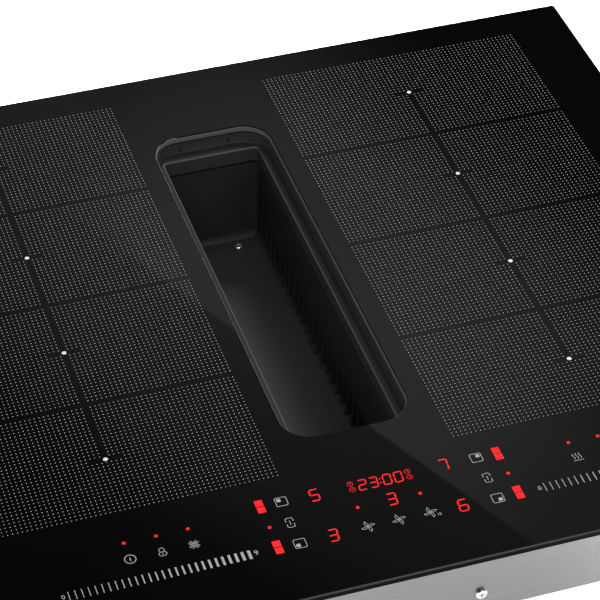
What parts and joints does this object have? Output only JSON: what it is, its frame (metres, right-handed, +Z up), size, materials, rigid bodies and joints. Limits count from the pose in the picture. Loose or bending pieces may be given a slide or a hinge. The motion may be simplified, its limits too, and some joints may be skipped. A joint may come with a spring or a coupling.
{
  "type": "downdraft induction cooktop",
  "caption": "Glass-ceramic induction cooktop with a central extractor slot, deep intake well and a blower box with a flat duct outlet underneath.",
  "frame": {"origin": "centre of the seat: the plane in which the underside of the perimeter seal lies on the worktop", "axes": "+X to the user's right, +Y away from the user, +Z up out of the worktop"},
  "size_m": [0.59, 0.52, 0.2079],
  "materials": {
    "black_glass": "polished black glass-ceramic",
    "foam_seal": "closed-cell foam",
    "silicone": "satin silicone",
    "brushed_steel": "brushed sheet",
    "well_plastic": "satin moulded charcoal",
    "housing_plastic": "moulded dark grey",
    "flap_plastic": "moulded grey",
    "drawer_plastic": "moulded mid grey",
    "tray_plastic": "moulded off-white",
    "impeller_plastic": "moulded",
    "fan_black": "moulded",
    "component_black": "epoxy package",
    "terminal_white": "moulded",
    "capacitor_yellow": "dipped case",
    "ribbon_grey": "flat cable",
    "circuit_board": "solder mask",
    "carrier_plastic": "moulded heat-resistant",
    "mica": "mica sheet",
    "ferrite": "sintered",
    "sensor_ceramic": "white ceramic",
    "litz_copper": "enamelled copper strands",
    "choke_copper": "wound core",
    "plate_aluminium": "mill finish",
    "heat_sink_aluminium": "extruded",
    "motor_aluminium": "die cast",
    "bearing_steel": "ground",
    "screw_steel": "bright zinc",
    "spring_steel": "strip",
    "runner_steel": "powder coat",
    "zinc_steel": "zinc plated",
    "rubber": "matte",
    "cable_black": "satin",
    "display_red": "lit segments"
  },
  "bodies": {
    "housing": {"base_tray": "brushed_steel", "blower_lead": "cable_black", "blower_motor": "motor_aluminium", "blower_screws": "screw_steel", "blower_scroll": "housing_plastic", "board_trays": "tray_plastic", "cable_gland": "cable_black", "chamber_gasket": "foam_seal", "clamp_screws": "screw_steel", "coil_springs_left": "spring_steel", "coil_springs_right": "spring_steel", "collar_seal": "silicone", "display_cable": "ribbon_grey", "drawer_runners": "runner_steel", "fan_frames": "fan_black", "film_capacitors": "capacitor_yellow", "glass_adhesive": "silicone", "glass_ceramic_plate": "black_glass", "heat_sinks": "heat_sink_aluminium", "housing_screws": "screw_steel", "intake_chamber": "housing_plastic", "intake_well": "well_plastic", "led_displays": "display_red", "motor_bearings": "bearing_steel", "motor_dampers": "rubber", "outlet_spigot": "housing_plastic", "panel_screws": "screw_steel", "power_boards": "circuit_board", "power_transistors": "component_black", "slot_collar": "well_plastic", "terminal_block": "terminal_white", "terminal_cover": "housing_plastic", "toroidal_chokes": "choke_copper", "touch_board": "circuit_board", "touch_board_holder": "tray_plastic", "well_screws": "screw_steel", "worktop_seal": "foam_seal"},
    "blower_rotor": {"impeller": "impeller_plastic", "blower_shaft": "bearing_steel"},
    "cooling_fan_left": {"fan_rotor_left": "fan_black"},
    "cooling_fan_right": {"fan_rotor_right": "fan_black"},
    "outlet_flap": {"outlet_flap": "flap_plastic", "flap_pin": "bearing_steel"},
    "overflow_drawer": {"overflow_drawer": "drawer_plastic"},
    "clamp_front_left": {"clamp_front_left": "zinc_steel"},
    "clamp_front_right": {"clamp_front_right": "zinc_steel"},
    "clamp_rear_left": {"clamp_rear_left": "zinc_steel"},
    "clamp_rear_right": {"clamp_rear_right": "zinc_steel"},
    "coil_bank_left": {"mica_sheets_left": "mica", "coil_carriers_left": "carrier_plastic", "coil_windings_left": "litz_copper", "ferrite_bars_left": "ferrite", "temperature_sensors_left": "sensor_ceramic", "coil_plate_left": "plate_aluminium"},
    "coil_bank_right": {"mica_sheets_right": "mica", "coil_carriers_right": "carrier_plastic", "coil_windings_right": "litz_copper", "ferrite_bars_right": "ferrite", "temperature_sensors_right": "sensor_ceramic", "coil_plate_right": "plate_aluminium"}
  },
  "joints": [
    {"name": "blower_spin", "type": "hinge", "parent": "housing", "child": "blower_rotor", "pos_m": [0.095, 0.07, -0.16], "axis": [0, 0, 1], "continuous": true},
    {"name": "cooling_fan_left_spin", "type": "hinge", "parent": "housing", "child": "cooling_fan_left", "pos_m": [-0.16, -0.189, -0.0554], "axis": [0, 0, 1], "continuous": true},
    {"name": "cooling_fan_right_spin", "type": "hinge", "parent": "housing", "child": "cooling_fan_right", "pos_m": [0.16, -0.189, -0.0554], "axis": [0, 0, 1], "continuous": true},
    {"name": "outlet_flap_swing", "type": "hinge", "parent": "housing", "child": "outlet_flap", "pos_m": [0.111, 0.2265, -0.1075], "axis": [1, 0, 0], "range_deg": [0, 75]},
    {"name": "overflow_drawer_slide", "type": "slide", "parent": "housing", "child": "overflow_drawer", "axis": [0, -1, 0], "range_m": [0, 0.055]},
    {"name": "clamp_front_left_swing", "type": "hinge", "parent": "housing", "child": "clamp_front_left", "pos_m": [-0.266, -0.205, -0.064], "axis": [0, 0, 1], "range_deg": [0, 90]},
    {"name": "clamp_front_right_swing", "type": "hinge", "parent": "housing", "child": "clamp_front_right", "pos_m": [0.266, -0.205, -0.064], "axis": [0, 0, -1], "range_deg": [0, 90]},
    {"name": "clamp_rear_left_swing", "type": "hinge", "parent": "housing", "child": "clamp_rear_left", "pos_m": [-0.266, 0.225, -0.064], "axis": [0, 0, -1], "range_deg": [0, 90]},
    {"name": "clamp_rear_right_swing", "type": "hinge", "parent": "housing", "child": "clamp_rear_right", "pos_m": [0.266, 0.225, -0.064], "axis": [0, 0, 1], "range_deg": [0, 90]},
    {"name": "coil_bank_left_give", "type": "slide", "parent": "housing", "child": "coil_bank_left", "axis": [0, 0, 1], "range_m": [-0.003, 0], "stiffness_N_per_m": 2000, "springref_m": 0.02, "deforming": ["coil_springs_left"]},
    {"name": "coil_bank_right_give", "type": "slide", "parent": "housing", "child": "coil_bank_right", "axis": [0, 0, 1], "range_m": [-0.003, 0], "stiffness_N_per_m": 2000, "springref_m": 0.02, "deforming": ["coil_springs_right"]}
  ]
}
